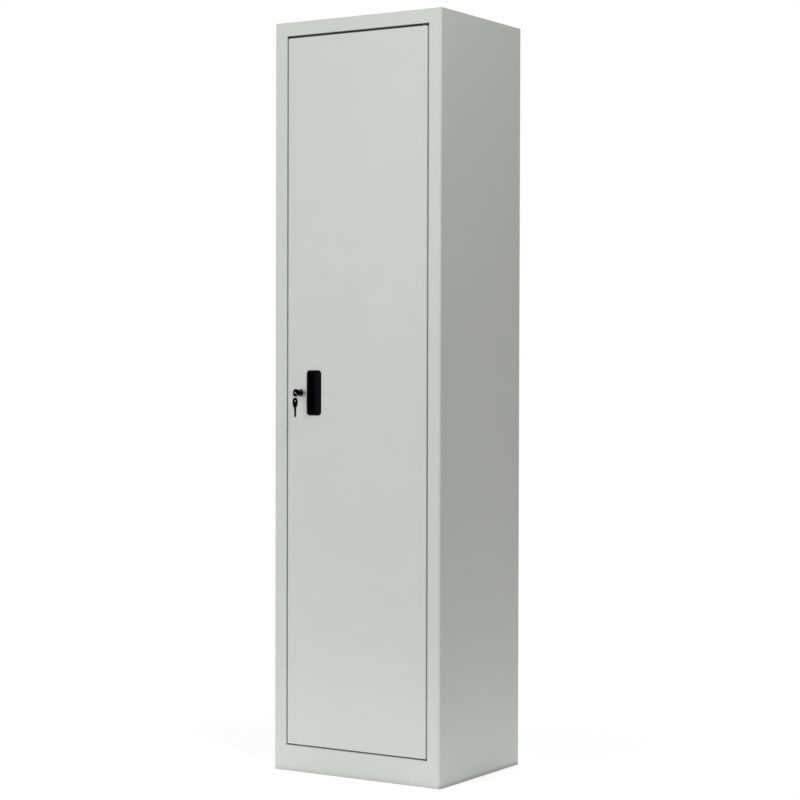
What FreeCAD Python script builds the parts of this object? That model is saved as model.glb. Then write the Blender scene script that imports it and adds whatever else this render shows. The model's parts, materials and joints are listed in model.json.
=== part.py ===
"""A tall single-door steel locker, built as a parametric FreeCAD document.

Millimetres. +Z is up, the door faces -Y, and the origin is the middle of the footprint on the floor.
"""

import FreeCAD, Part
import Sketcher
import math
import os
import re

# ---------------------------------------------------------------- driving sizes
# Every size that can be set by itself, in millimetres unless its name says otherwise.

SIZES = {
    # carcass
    "width": 468,
    "depth": 375,
    "height": 1800,
    "sheet": 0.8,
    "stile": 35,                # width of each upright beside the door
    "top_rail": 33,             # height of the rail above the door
    "plinth": 62.5,             # height of the rail below the door, and of the floor
    "corner_bend": 4.2,         # inside radius of the four upright corners
    "edge_bend": 0.7,           # inside radius of every other fold
    "weld_notch": 2.5,          # how far the rails run past the opening to their butt welds
    "return_depth": 20,         # depth of the flange folded back round the door opening
    "return_lip": 10,           # second fold, behind the stile
    "toe_flange": 25,           # inward flange that stands on the floor
    "side_flange": 15,          # flanges of the top sheet that are welded to the sides
    "rear_drop": 20,            # rear flange of the top sheet
    "wall_hole": 5,             # radius of the wall fixing holes
    "wall_hole_spacing": 300,
    "wall_hole_drop": 120,      # from the top of the locker down to the wall fixing holes
    # door
    "door_gap": 3.5,            # at the sides and the bottom of the door
    "head_gap": 5.5,            # above the door
    "door_thick": 20,
    "door_lip": 12,
    "stop_gap": 2,              # from the back of the door to its stops
    "stop_drop": 12,            # how far the stops overlap the back of the door
    "stop_hinge_gap": 10,       # the head stop ends this far short of the hinge axis
    "floor_stop_length": 60,
    "floor_stop_foot": 18,
    "buffer_radius": 4,
    "buffer_play": 0.5,
    "buffer_inset": 25,         # from the lock edge of the door
    "hat_web": 40,
    "hat_flange": 12,
    "hat_depth": 15,
    "hat_end_gap": 16,
    # pivots
    "hinge_inset": 10,          # axis, from the hinge edge of the door
    "hinge_setback": 7,         # axis, from the face of the door
    "pin_radius": 3,
    "pin_play": 0.08,
    "pin_head_radius": 5.5,
    "pin_head": 2,
    "pin_reach": 14,            # length of pin inside the door
    "plate_thick": 3,
    "plate_length": 36,
    "plate_width": 15,
    "plate_bevel": 3,
    "bush_wall": 2,
    "bush_collar": 1.2,         # how far the collar stands out past the bush
    "bush_reach": 2,            # past the plate inside the door
    "thrust_play": 0.5,         # between the collar of each bush and the frame
    # slotted uprights, shelves and their clips
    "upright_width": 30,
    "upright_depth": 9,
    "upright_sheet": 1.2,
    "upright_front": 64,        # face of the locker to the middle of a front upright
    "upright_rear": 50,         # back of the locker to the middle of a rear upright
    "upright_top_gap": 60,
    "slot_width": 5,
    "slot_length": 14,
    "slot_pitch": 70,
    "slot_margin": 34,          # floor to the bottom of the first slot
    "shelf_height": 25,
    "shelf_lip": 12,
    "shelf_front": 46,          # face of the locker to the front of a shelf
    "shelf_play": 2.5,          # beside the shelf, where the clips hang
    "shelf_rear_gap": 3,
    "clip_sheet": 1.5,
    "clip_width": 14,
    "clip_ledge": 16,
    "clip_drop": 16,            # bottom of the slot that carries it down to the ledge
    "hook_drop": 7,
    "hook_play": 0.3,
    # recessed pull
    "pull_inset": 76.1,         # lock edge of the door to the middle of the pull
    "pull_rise": 846,           # bottom of the door to the middle of the pull and the lock
    "pull_width": 41.3,
    "pull_height": 108,
    "pull_corner": 8.5,
    "pull_rim": 2.2,
    "pull_rim_width": 3.4,
    "pull_wall": 1.8,
    "pull_rim_bevel": 1.2,
    "pull_play": 0.2,           # between the cup and its cut-out
    "pull_depth": 15,
    "pull_hollow_corner": 3,
    "pull_lip": 7,
    "pull_lip_thick": 2.5,
    # cam lock
    "lock_inset": 42.3,         # lock edge of the door to the middle of the lock
    "barrel_head": 9,
    "barrel_head_radius": 9.5,
    "barrel_bevel": 2,
    "barrel_radius": 8,
    "barrel_play": 0.2,
    "barrel_short": 0.6,        # the barrel ends this far short of the cam
    "nut_thick": 4,
    "nut_radius": 12,
    "plug_radius": 5.5,
    "plug_play": 0.08,
    "plug_proud": 0.3,
    "cam_gap": 2,               # behind the back of the door
    "cam_thick": 2,
    "cam_width": 16,
    "cam_corner": 6.4,
    "cam_reach": 52,
    "cam_square": 7,
    "screw_radius": 2.5,
    "screw_head_radius": 5,
    "screw_head": 2.6,
    "screw_length": 8,
    # keys and ring
    "blade_thick": 1.8,
    "blade_height": 7.4,
    "blade_length": 25,         # from the bow to the tip
    "blade_neck": 7,            # between the head of the lock and the bow
    "blade_rest": 1,            # room in the keyway past the tip
    "blade_play": 0.2,
    "blade_tang": 5,            # inside the bow
    "blade_point": 2.5,
    "bite_pitch": 3.4,
    "bite_flat": 1,
    "bite_depth": 2,            # of the deepest bite
    "bow_radius": 9.5,
    "bow_length": 22,
    "bow_thick": 2.8,
    "bow_neck": 14,
    "bow_flare": 1.5,             # how much wider the neck is on each side where it meets the round
    "bow_hole": 3,
    "bow_hole_offset": 2,       # hole, outwards from the middle of the bow's round
    "ring_wire": 1.2,
    "ring_bore": 7.2,
    "ring_play": 0.7,
    "spare_play": 0.7,
}

SHELVES = 4
BITE_CODE = (0.4, 0.9, 0.6, 1, 0.5)       # depth of each bite, as a part of the deepest
OVERCUT = 0.5                             # how far a cut starts and ends outside what it cuts

doc = FreeCAD.newDocument("locker")
sheet = doc.addObject("Spreadsheet::Sheet", "size")
for row, (alias, size) in enumerate(SIZES.items(), 1):
    sheet.set(f"A{row}", alias)
    sheet.set(f"B{row}", str(size))
    sheet.setAlias(f"B{row}", alias)
doc.recompute()

PARTS = []


# ---------------------------------------------------------------- modelling helpers
def formula(text):
    """An expression on the sheet, from one that uses the bare names of its sizes."""
    return re.sub(r"[a-z_]+", lambda m: f"size.{m.group()}" if m.group() in SIZES else m.group(), str(text))


def number(text):
    return float(sheet.evalExpression(formula(text)))


def bind(thing, prop, text):
    thing.setExpression(prop, formula(text))


def origin_part(body, role):
    return next(f for f in body.Origin.OriginFeatures if f.Role == role)


def new_body(label, at=None, turn=None):
    """A sub-part of its own. `at` places it by three expressions and `turn` is (axis, degrees)."""
    body = doc.addObject("PartDesign::Body", label)
    body.Label = label
    if turn:
        body.Placement.Rotation = FreeCAD.Rotation(FreeCAD.Vector(*turn[0]), turn[1])
    for letter, text in zip("xyz", at or ()):
        bind(body, f"Placement.Base.{letter}", text)
    PARTS.append(body)
    return body


PLANES = {"X": ("YZ_Plane", 1), "Y": ("XZ_Plane", -1), "Z": ("XY_Plane", 1)}


def fix(sketch, geometry, point, place):
    """Ties a point of the sketch to the origin by its two coordinates."""
    for kind, text in zip(("DistanceX", "DistanceY"), place):
        index = sketch.addConstraint(Sketcher.Constraint(kind, -1, 1, geometry, point, number(text)))
        bind(sketch, f"Constraints[{index}]", text)


def draw_polygon(sketch, points):
    first = sketch.GeometryCount
    corners = [FreeCAD.Vector(number(a), number(b), 0) for a, b in points]
    count = len(points)
    for i in range(count):
        sketch.addGeometry(Part.LineSegment(corners[i], corners[(i + 1) % count]), False)
    for i in range(count):
        sketch.addConstraint(Sketcher.Constraint("Coincident", first + i, 2, first + (i + 1) % count, 1))
        fix(sketch, first + i, 1, points[i])


def draw_circle(sketch, place, radius):
    middle = FreeCAD.Vector(number(place[0]), number(place[1]), 0)
    circle = Part.Circle(middle, FreeCAD.Vector(0, 0, 1), number(radius))
    geometry = sketch.addGeometry(circle, False)
    fix(sketch, geometry, 3, place)
    index = sketch.addConstraint(Sketcher.Constraint("Radius", geometry, number(radius)))
    bind(sketch, f"Constraints[{index}]", radius)


def sketch_on(body, name, axis, low, loops):
    """A sketch square to `axis` at `low`. A loop is a list of corners or (centre, radius)."""
    role, sense = PLANES[axis]
    sketch = body.newObject("Sketcher::SketchObject", name)
    sketch.AttachmentSupport = [(origin_part(body, role), "")]
    sketch.MapMode = "FlatFace"
    bind(sketch, "AttachmentOffset.Base.z", f"{sense} * ({low})")
    for loop in loops:
        if isinstance(loop, tuple):
            draw_circle(sketch, *loop)
        else:
            draw_polygon(sketch, loop)
    return sketch


def prism(body, name, axis, low, high, *loops):
    """Adds material between `low` and `high` along `axis`."""
    sketch = sketch_on(body, name + "_sketch", axis, low, loops)
    pad = body.newObject("PartDesign::Pad", name)
    pad.Profile = sketch
    pad.Reversed = PLANES[axis][1] < 0
    bind(pad, "Length", f"({high}) - ({low})")
    doc.recompute()
    return pad


def cut(body, name, axis, low, high, *loops):
    """Removes material between `low` and `high` along `axis`."""
    before = body.Shape.Volume
    sketch = sketch_on(body, name + "_sketch", axis, low, loops)
    pocket = body.newObject("PartDesign::Pocket", name)
    pocket.Profile = sketch
    pocket.Reversed = PLANES[axis][1] > 0
    bind(pocket, "Length", f"({high}) - ({low})")
    doc.recompute()
    if body.Shape.Volume >= before:
        raise RuntimeError(f"{body.Label}: {name} removes nothing")
    return pocket


def box(low_a, low_b, high_a, high_b):
    return [(low_a, low_b), (high_a, low_b), (high_a, high_b), (low_a, high_b)]


def around(a, b, half_a, half_b):
    """A rectangle about a middle point."""
    return box(f"{a} - ({half_a})", f"{b} - ({half_b})", f"{a} + ({half_a})", f"{b} + ({half_b})")


def edges_along(feature, axis, corners=None, test=None):
    """Names of the feature's straight edges along `axis` that pass through one of the corners."""
    index = "XYZ".index(axis)
    across = [i for i in range(3) if i != index]
    wanted = [(number(a), number(b)) for a, b in corners] if corners else None
    names = []
    for i, edge in enumerate(feature.Shape.Edges, 1):
        if not isinstance(edge.Curve, (Part.Line, Part.LineSegment)):
            continue
        start, end = edge.Vertexes[0].Point, edge.Vertexes[-1].Point
        run = end - start
        if abs(run[index]) < run.Length - 1e-6:
            continue
        place = (start[across[0]], start[across[1]])
        near = wanted is None or any(math.dist(place, w) < 1e-5 for w in wanted)
        if near and (test is None or test(start, end)):
            names.append(f"Edge{i}")
    return names


def edges_in_plane(feature, y):
    """Names of the feature's edges that lie in the plane at `y`."""
    level = number(y)
    return [f"Edge{i}" for i, edge in enumerate(feature.Shape.Edges, 1)
            if all(abs(vertex.Y - level) < 1e-5 for vertex in edge.Vertexes)]


def dress(body, kind, prop, name, feature, edges, size):
    if not edges:
        raise RuntimeError(f"{body.Label}: {name} finds no edge")
    dressed = body.newObject(f"PartDesign::{kind}", name)
    dressed.Base = (feature, edges)
    bind(dressed, prop, size)
    doc.recompute()
    return dressed


def fillet(body, name, feature, edges, radius):
    return dress(body, "Fillet", "Radius", name, feature, edges, radius)


def chamfer(body, name, feature, edges, size):
    return dress(body, "Chamfer", "Size", name, feature, edges, size)


STEPS = {"+a": (1, 0), "-a": (-1, 0), "+b": (0, 1), "-b": (0, -1)}


def folded_sheet(start, runs, side, thick):
    """The section of a folded sheet: its skin starts at `start` and follows `runs`, pairs of a
    direction and a length. The thickness lies on the `side` of the skin ("left" or "right")
    as one walks along it. Returns the closed outline and the (skin, inner) corner of each fold,
    with True where the skin is the outside of the fold."""
    skin = [start]
    for step, length in runs:
        da, db = STEPS[step]
        a, b = skin[-1]
        skin.append((f"{a} + {da} * ({length})" if da else a, f"{b} + {db} * ({length})" if db else b))
    sign = 1 if side == "right" else -1
    normals = [(sign * STEPS[step][1], -sign * STEPS[step][0]) for step, _ in runs]
    inner, folds = [], []
    for i, (a, b) in enumerate(skin):
        touching = normals[max(i - 1, 0):i + 1]
        na = sum(n[0] for n in touching)
        nb = sum(n[1] for n in touching)
        inner.append((f"{a} + {na} * {thick}", f"{b} + {nb} * {thick}"))
        if 0 < i < len(skin) - 1:
            (pa, pb), (qa, qb) = STEPS[runs[i - 1][0]], STEPS[runs[i][0]]
            right_turn = pa * qb - pb * qa < 0
            folds.append((skin[i], inner[i], right_turn == (side == "right")))
    return skin + inner[::-1], folds


def fold(body, name, axis, low, high, section, bend, thick="sheet"):
    """Extrudes a folded section and rounds both faces of every fold."""
    outline, folds = section
    pad = prism(body, name, axis, low, high, outline)
    outside = [skin if convex else inner for skin, inner, convex in folds]
    inside = [inner if convex else skin for skin, inner, convex in folds]
    lowest, highest = number(low), number(high)
    index = "XYZ".index(axis)

    def own(start, end):
        ends = sorted((start[index], end[index]))
        return ends[0] > lowest - 1e-4 and ends[1] < highest + 1e-4

    outer = fillet(body, name + "_outside", pad, edges_along(pad, axis, outside, own), f"{bend} + {thick}")
    return fillet(body, name + "_inside", outer, edges_along(outer, axis, inside, own), bend)


def turned(label, profile, at, turn=None):
    """A sub-part turned about its own Z axis, from a profile of (radius, height) corners."""
    body = new_body(label, at, turn)
    sketch = sketch_on(body, "profile", "Y", "0", [profile])
    revolve = body.newObject("PartDesign::Revolution", "turning")
    revolve.Profile = sketch
    revolve.ReferenceAxis = (sketch, ["V_Axis"])
    revolve.Angle = 360
    doc.recompute()
    return body


# ---------------------------------------------------------------- shared places
FRONT = "-depth / 2"
REAR = "depth / 2"
INNER_W = "(width / 2 - sheet)"
OPENING = "(width / 2 - stile)"                  # half width of the door opening
WELD = "(width / 2 - stile + weld_notch)"        # half width of the rails' full section
HEAD = "(height - top_rail)"                     # underside of the rail above the door
DOOR_LOCK_EDGE = "(-width / 2 + stile + door_gap)"
DOOR_HINGE_EDGE = "(width / 2 - stile - door_gap)"
DOOR_LOW = "(plinth + door_gap)"
DOOR_HIGH = "(height - top_rail - head_gap)"
DOOR_BACK = "(-depth / 2 + door_thick)"
STOP_FACE = "(-depth / 2 + door_thick + stop_gap)"
HINGE_X = "(width / 2 - stile - door_gap - hinge_inset)"
HINGE_Y = "(-depth / 2 + hinge_setback)"
WEB_X = "(width / 2 - sheet - upright_depth)"    # inner face of the uprights
LOCK_X = "(-width / 2 + stile + door_gap + lock_inset)"
LOCK_Z = "(plinth + door_gap + pull_rise)"
CAM_FRONT = "(-depth / 2 + door_thick + cam_gap)"
SIDE_CLEAR = "sheet + corner_bend + edge_bend"   # past the bends at the front and rear of the sides


# ---------------------------------------------------------------- carcass
def side_panel(label, hand):
    """A full-height side with its stile, rear flange and the notched flange round the opening.
    `hand` is +1 on the hinge side and -1 on the lock side."""
    body = new_body(label)
    outwards, inwards = ("+a", "-a") if hand > 0 else ("-a", "+a")
    side = "left" if hand > 0 else "right"
    wall = folded_sheet(
        (f"{hand} * {WELD}", FRONT),
        [(outwards, "stile - weld_notch"), ("+b", "depth"), (inwards, "stile - weld_notch")],
        side, "sheet")
    fold(body, "wall", "Z", "0", "height", wall, "corner_bend")
    lip_end = f"{hand} * ({OPENING} + return_lip)"
    opening = folded_sheet(
        (lip_end, f"{FRONT} + return_depth"),
        [(inwards, "return_lip"), ("-b", "return_depth"), (outwards, "weld_notch")],
        side, "sheet")
    fold(body, "opening", "Z", "plinth", HEAD, opening, "edge_bend")
    return body


def wings(body, name, low, high):
    """The parts of a level sheet that reach past the rails to the two sides, with their
    corners rounded to fit the bends of the side panels."""
    front, rear = f"{FRONT} + sheet", f"{REAR} - sheet"
    for side, hand in (("lock", -1), ("hinge", 1)):
        near, far = f"{hand} * {WELD}", f"{hand} * {INNER_W}"
        wing = prism(body, f"{name}_{side}", "Z", low, high, box(near, front, far, rear))
        corners = edges_along(wing, "Z", [(far, front), (far, rear)])
        fillet(body, f"{name}_{side}_corners", wing, corners, "corner_bend")


def edge_strips(body, name, low, high, inset):
    """Upright flanges against both sides, clear of the bends by `inset` at their ends."""
    for side, hand in (("lock", -1), ("hinge", 1)):
        outer, inner = f"{hand} * {INNER_W}", f"{hand} * ({INNER_W} - sheet)"
        prism(body, f"{name}_{side}", "Z", low, high,
              box(outer, f"{FRONT} + {inset}", inner, f"{REAR} - ({inset})"))


def top_panel():
    """Top sheet folded down into the front rail, back under it, and down again as a door stop."""
    body = new_body("top_panel")
    section = folded_sheet(
        (STOP_FACE, f"{HEAD} - stop_drop"),
        [("+b", "stop_drop"), ("-a", "door_thick + stop_gap"), ("+b", "top_rail"),
         ("+a", "depth"), ("-b", "rear_drop")],
        "right", "sheet")
    fold(body, "shell", "X", f"-{WELD}", WELD, section, "edge_bend")
    wings(body, "wing", "height - sheet", "height")
    edge_strips(body, "weld_flange", "height - side_flange", "height - sheet", SIDE_CLEAR)
    # the door's hinge edge swings back past the stop, so the stop ends short of it,
    # and both ends stay clear of the flanges round the opening
    stop = box(f"{STOP_FACE} - {OVERCUT}", f"{HEAD} - stop_drop - {OVERCUT}",
               f"{STOP_FACE} + 3 * sheet", f"{HEAD} - edge_bend")
    cut(body, "hinge_relief", "X", f"{HINGE_X} - stop_hinge_gap", f"{WELD} + {OVERCUT}", stop)
    cut(body, "lock_relief", "X", f"-{WELD} - {OVERCUT}", f"-{OPENING} + door_gap", stop)
    pivot_hole(body, HEAD, f"{HEAD} + 2 * sheet")
    return body


def pivot_hole(body, low, high, radius="pin_radius + pin_play"):
    cut(body, "pivot_hole", "Z", f"({low}) - {OVERCUT}", high, ((HINGE_X, HINGE_Y), radius))


def base_tray():
    """Floor of the locker, folded down into the plinth and in again round the footprint."""
    body = new_body("base_tray")
    section = folded_sheet(
        (f"{FRONT} + toe_flange", "0"),
        [("-a", "toe_flange"), ("+b", "plinth"), ("+a", "depth"), ("-b", "plinth"), ("-a", "toe_flange")],
        "right", "sheet")
    fold(body, "shell", "X", f"-{WELD}", WELD, section, "edge_bend")
    wings(body, "wing", "plinth - sheet", "plinth")
    edge_strips(body, "skirt", "0", "plinth - sheet", SIDE_CLEAR)
    for side, hand in (("lock", -1), ("hinge", 1)):
        outer, inner = f"{hand} * {INNER_W}", f"{hand} * ({WELD} - toe_flange)"
        prism(body, f"foot_{side}", "Z", "0", "sheet",
              box(outer, f"{FRONT} + {SIDE_CLEAR}", inner, f"{REAR} - ({SIDE_CLEAR})"))
    pivot_hole(body, "plinth - 2 * sheet", f"plinth + {OVERCUT}")
    return body


def back_panel():
    """Flat sheet inside the rear flanges, with two holes for fixing the locker to a wall."""
    body = new_body("back_panel")
    prism(body, "plate", "Y", f"{REAR} - 2 * sheet", f"{REAR} - sheet",
          box(f"-{INNER_W} + corner_bend", "plinth", f"{INNER_W} - corner_bend", "height - sheet - edge_bend"))
    holes = [((f"{hand} * wall_hole_spacing / 2", "height - wall_hole_drop"), "wall_hole") for hand in (-1, 1)]
    cut(body, "wall_holes", "Y", f"{REAR} - 3 * sheet", REAR, *holes)
    return body


# ---------------------------------------------------------------- uprights, clips and shelves
SLOT_LOW = "(plinth + slot_margin)"
UPRIGHT_TOP = "(height - upright_top_gap)"
SLOTS = int((number(UPRIGHT_TOP) - number(SLOT_LOW) - number("slot_length")) // number("slot_pitch")) + 1
SHELF_STEP = round(SLOTS / (SHELVES + 1))
FIRST_SHELF = SHELF_STEP - 1
UPRIGHT_Y = {"front": f"({FRONT} + upright_front)", "rear": f"({REAR} - upright_rear)"}


def shelf_slot(index):
    """Bottom of the slots that carry shelf `index`, counted from the floor."""
    return f"({SLOT_LOW} + {FIRST_SHELF + index * SHELF_STEP} * slot_pitch)"


def upright(label, hand, y):
    """Channel welded to a side, with one row of slots in its web."""
    body = new_body(label)
    inwards, outwards = ("-a", "+a") if hand > 0 else ("+a", "-a")
    section = folded_sheet(
        (f"{hand} * {INNER_W}", f"{y} - upright_width / 2"),
        [(inwards, "upright_depth"), ("+b", "upright_width"), (outwards, "upright_depth")],
        "right" if hand > 0 else "left", "upright_sheet")
    fold(body, "channel", "Z", "plinth", UPRIGHT_TOP, section, "edge_bend", "upright_sheet")
    low, high = sorted((f"{hand} * ({WEB_X} - {OVERCUT})", f"{hand} * ({WEB_X} + 2 * upright_sheet)"), key=number)
    slot = cut(body, "slot", "X", low, high,
               box(f"{y} - slot_width / 2", SLOT_LOW, f"{y} + slot_width / 2", f"{SLOT_LOW} + slot_length"))
    row = body.newObject("PartDesign::LinearPattern", "slots")
    row.Originals = [slot]
    row.Direction = (origin_part(body, "Z_Axis"), [""])
    row.Mode = "Spacing"
    bind(row, "Offset", "slot_pitch")
    row.Occurrences = SLOTS
    body.Tip = row
    doc.recompute()
    return body


def whole_copy(body, kind, name, **settings):
    """Repeats everything in the body so far."""
    pattern = body.newObject(f"PartDesign::{kind}", name)
    pattern.TransformMode = "Whole shape"
    offset = settings.pop("offset", None)
    for prop, setting in settings.items():
        setattr(pattern, prop, setting)
    if offset:
        bind(pattern, "Offset", offset)
    body.Tip = pattern
    doc.recompute()
    return pattern


def shelf_clips():
    """Four clips for each shelf, stamped from strip. Each hooks over the bottom of a slot and
    hangs down beside the shelf, which rests on its ledge."""
    body = new_body("shelf_clips")
    y = UPRIGHT_Y["front"]
    low = shelf_slot(0)
    ledge = f"({low} - clip_drop)"
    hook_back = f"({WEB_X} + upright_sheet + hook_play)"
    angle, _ = folded_sheet(
        (f"-{WEB_X} + clip_ledge", f"{ledge} - clip_sheet"),
        [("-a", "clip_ledge"), ("+b", "clip_drop + 2 * clip_sheet")], "right", "clip_sheet")
    prism(body, "angle", "Y", f"{y} - clip_width / 2", f"{y} + clip_width / 2", angle)
    hook, _ = folded_sheet(
        (f"-{WEB_X}", f"{low} + clip_sheet"),
        [("-a", f"{hook_back} - {WEB_X} + clip_sheet"), ("-b", "clip_sheet + hook_drop")], "left", "clip_sheet")
    prism(body, "hook", "Y", f"{y} - slot_width / 2 + hook_play", f"{y} + slot_width / 2 - hook_play", hook)
    whole_copy(body, "Mirrored", "both_sides", MirrorPlane=(origin_part(body, "YZ_Plane"), [""]))
    whole_copy(body, "LinearPattern", "front_and_rear", Direction=(origin_part(body, "Y_Axis"), [""]),
               Mode="Spacing", Occurrences=2, offset=f"{UPRIGHT_Y['rear']} - {UPRIGHT_Y['front']}")
    whole_copy(body, "LinearPattern", "every_shelf", Direction=(origin_part(body, "Z_Axis"), [""]),
               Mode="Spacing", Occurrences=SHELVES, offset=f"{SHELF_STEP} * slot_pitch")
    return body


def tray(body, axis, skin, depth_to, lip_at, outline, lip):
    """A sheet with four edges folded back and in again: a skin, a rim and a lip.
    `skin`, `depth_to` and `lip_at` are (low, high) pairs along the axis."""
    low_a, low_b, high_a, high_b = outline

    def inset(by):
        return box(f"{low_a} + {by}", f"{low_b} + {by}", f"{high_a} - {by}", f"{high_b} - {by}")

    prism(body, "skin", axis, *skin, inset("0"))
    prism(body, "rim", axis, *depth_to, inset("0"), inset("sheet"))
    return prism(body, "lip", axis, *lip_at, inset("0"), inset(lip))


def shelf(label, index):
    """Shelf with all four edges folded down and in again."""
    body = new_body(label)
    low = f"({shelf_slot(index)} - clip_drop)"
    high = f"({low} + shelf_height)"
    outline = (f"-{WEB_X} + shelf_play", f"{FRONT} + shelf_front",
               f"{WEB_X} - shelf_play", f"{REAR} - 2 * sheet - shelf_rear_gap")
    last = tray(body, "Z", (f"{high} - sheet", high), (low, f"{high} - sheet"),
                (low, f"{low} + sheet"), outline, "shelf_lip")
    level = number(high)
    rim = [name for axis in "XY" for name in
           edges_along(last, axis, test=lambda start, end: abs(start.z - level) < 1e-5)]
    fillet(body, "folds", last, rim, "edge_bend")
    return body


# ---------------------------------------------------------------- pivots
PLATE_FRONT = f"({FRONT} + sheet + edge_bend)"
PLATE_BACK = f"({PLATE_FRONT} + plate_width)"


def pivot_plate(label, low, hole, far):
    """Thick plate that backs a thin sheet where a pivot passes through it."""
    body = new_body(label)
    near = f"{far} - plate_length"
    prism(body, "plate", "Z", low, f"{low} + plate_thick",
          [(near, PLATE_FRONT), (far, PLATE_FRONT), (far, f"{PLATE_BACK} - plate_bevel"),
           (f"{far} - plate_bevel", PLATE_BACK), (f"{near} + plate_bevel", PLATE_BACK),
           (near, f"{PLATE_BACK} - plate_bevel")])
    pivot_hole(body, low, f"{low} + plate_thick + {OVERCUT}", hole)
    return body


def pivot_pin(label, way, seat, gap):
    """Headed pin from `seat`, the outer face of its plate, across the gap into the door."""
    head = f"{way} * pin_head"
    tip = f"{-way} * (plate_thick + sheet + {gap} + pin_reach)"
    profile = [("0", head), ("pin_head_radius", head), ("pin_head_radius", "0"), ("pin_radius", "0"),
               ("pin_radius", tip), ("0", tip)]
    return turned(label, profile, (HINGE_X, HINGE_Y, seat))


def pivot_bush(label, way, face, collar):
    """Nylon bush through the edge of the door, with its collar in the gap."""
    bore, outer = "(pin_radius + pin_play)", "(pin_radius + pin_play + bush_wall)"
    length = "(plate_thick + sheet + bush_reach)"
    profile = [(bore, f"{way} * ({collar})"), (f"{outer} + bush_collar", f"{way} * ({collar})"),
               (f"{outer} + bush_collar", "0"), (outer, "0"), (outer, f"{-way} * {length}"),
               (bore, f"{-way} * {length}")]
    return turned(label, profile, (HINGE_X, HINGE_Y, face))


# ---------------------------------------------------------------- door
def door_panel():
    """Folded pan of the door: face, rim and inward lips, cut out for the pull, lock and pivots."""
    body = new_body("door_panel")
    outline = (DOOR_LOCK_EDGE, DOOR_LOW, DOOR_HINGE_EDGE, DOOR_HIGH)
    last = tray(body, "Y", (FRONT, f"{FRONT} + sheet"), (f"{FRONT} + sheet", DOOR_BACK),
                (f"{DOOR_BACK} - sheet", DOOR_BACK), outline, "door_lip")
    front = number(FRONT)
    rim = [name for axis in "XZ" for name in
           edges_along(last, axis, test=lambda start, end: abs(start.y - front) < 1e-5)]
    fillet(body, "folds", last, rim, "edge_bend + sheet")
    outside, inside = f"{FRONT} - {OVERCUT}", f"{FRONT} + 2 * sheet"
    cutout = around(PULL_X, LOCK_Z, *(f"{half} + pull_play" for half in PULL_CUTOUT))
    pull = cut(body, "pull_cutout", "Y", outside, inside, cutout)
    fillet(body, "pull_corners", pull, edges_along(pull, "Y", cutout), "pull_corner - pull_rim_width")
    cut(body, "lock_hole", "Y", outside, inside,
        ((LOCK_X, LOCK_Z), "barrel_radius + barrel_play"))
    hole = "pin_radius + pin_play + bush_wall"
    cut(body, "lower_pivot", "Z", f"{DOOR_LOW} - {OVERCUT}", f"{DOOR_LOW} + 2 * sheet", ((HINGE_X, HINGE_Y), hole))
    cut(body, "upper_pivot", "Z", f"{DOOR_HIGH} - 2 * sheet", f"{DOOR_HIGH} + {OVERCUT}", ((HINGE_X, HINGE_Y), hole))
    return body


def door_stiffener():
    """Hat channel welded up the middle of the door, inside."""
    body = new_body("door_stiffener")
    skin = f"({FRONT} + sheet)"
    section = folded_sheet(
        ("-hat_web / 2 - hat_flange", f"{skin} + sheet"),
        [("+a", "hat_flange"), ("+b", "hat_depth - sheet"), ("+a", "hat_web"),
         ("-b", "hat_depth - sheet"), ("+a", "hat_flange")],
        "right", "sheet")
    fold(body, "hat", "Z", f"{DOOR_LOW} + hat_end_gap", f"{DOOR_HIGH} - hat_end_gap", section, "edge_bend")
    return body


PULL_X = "(-width / 2 + stile + door_gap + pull_inset)"
PULL_CUTOUT = ("(pull_width / 2 - pull_rim_width)", "(pull_height / 2 - pull_rim_width)")


def pull_cup():
    """Moulded recessed pull: a bevelled rim on the face of the door, a cup through it,
    and a finger lip that narrows the mouth on the hinge side."""
    body = new_body("pull_cup")
    half_x, half_z = PULL_CUTOUT
    cup = prism(body, "cup", "Y", FRONT, f"{FRONT} + pull_depth", around(PULL_X, LOCK_Z, half_x, half_z))
    corner = "pull_corner - pull_rim_width"
    cup = fillet(body, "cup_corners", cup, edges_along(cup, "Y"), corner)
    rim_front = f"({FRONT} - pull_rim)"
    outline = around(PULL_X, LOCK_Z, "pull_width / 2", "pull_height / 2")
    rim = prism(body, "rim", "Y", rim_front, FRONT, outline)
    rim = fillet(body, "rim_corners", rim, edges_along(rim, "Y", outline), "pull_corner")
    chamfer(body, "rim_edge", rim, edges_in_plane(rim, rim_front), "pull_rim_bevel")
    low_x, high_x = f"{PULL_X} - {half_x} + pull_wall", f"{PULL_X} + {half_x} - pull_wall"
    low_z, high_z = f"{LOCK_Z} - {half_z} + pull_wall", f"{LOCK_Z} + {half_z} - pull_wall"
    lip_back = f"({rim_front} + pull_lip_thick)"
    hollow_outline = box(low_x, low_z, high_x, high_z)
    hollow = cut(body, "hollow", "Y", lip_back, f"{FRONT} + pull_depth - pull_wall", hollow_outline)
    fillet(body, "hollow_corners", hollow, edges_along(hollow, "Y", hollow_outline), "pull_hollow_corner")
    mouth_outline = box(low_x, low_z, f"{high_x} - pull_lip", high_z)
    cut(body, "mouth", "Y", f"{rim_front} - {OVERCUT}", lip_back, mouth_outline)
    return body


# ---------------------------------------------------------------- stops and buffers
BUFFER_X = f"({DOOR_LOCK_EDGE} + buffer_inset)"
FLOOR_STOP_Z = "(plinth + door_gap + stop_drop)"


def floor_stop():
    """Small angle welded to the floor behind the lock side of the door."""
    body = new_body("floor_stop")
    section = folded_sheet((STOP_FACE, FLOOR_STOP_Z), [("-b", "stop_drop + door_gap"), ("+a", "floor_stop_foot")],
                           "left", "sheet")
    fold(body, "angle", "X", DOOR_LOCK_EDGE, f"{DOOR_LOCK_EDGE} + floor_stop_length", section, "edge_bend")
    return body


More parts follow.
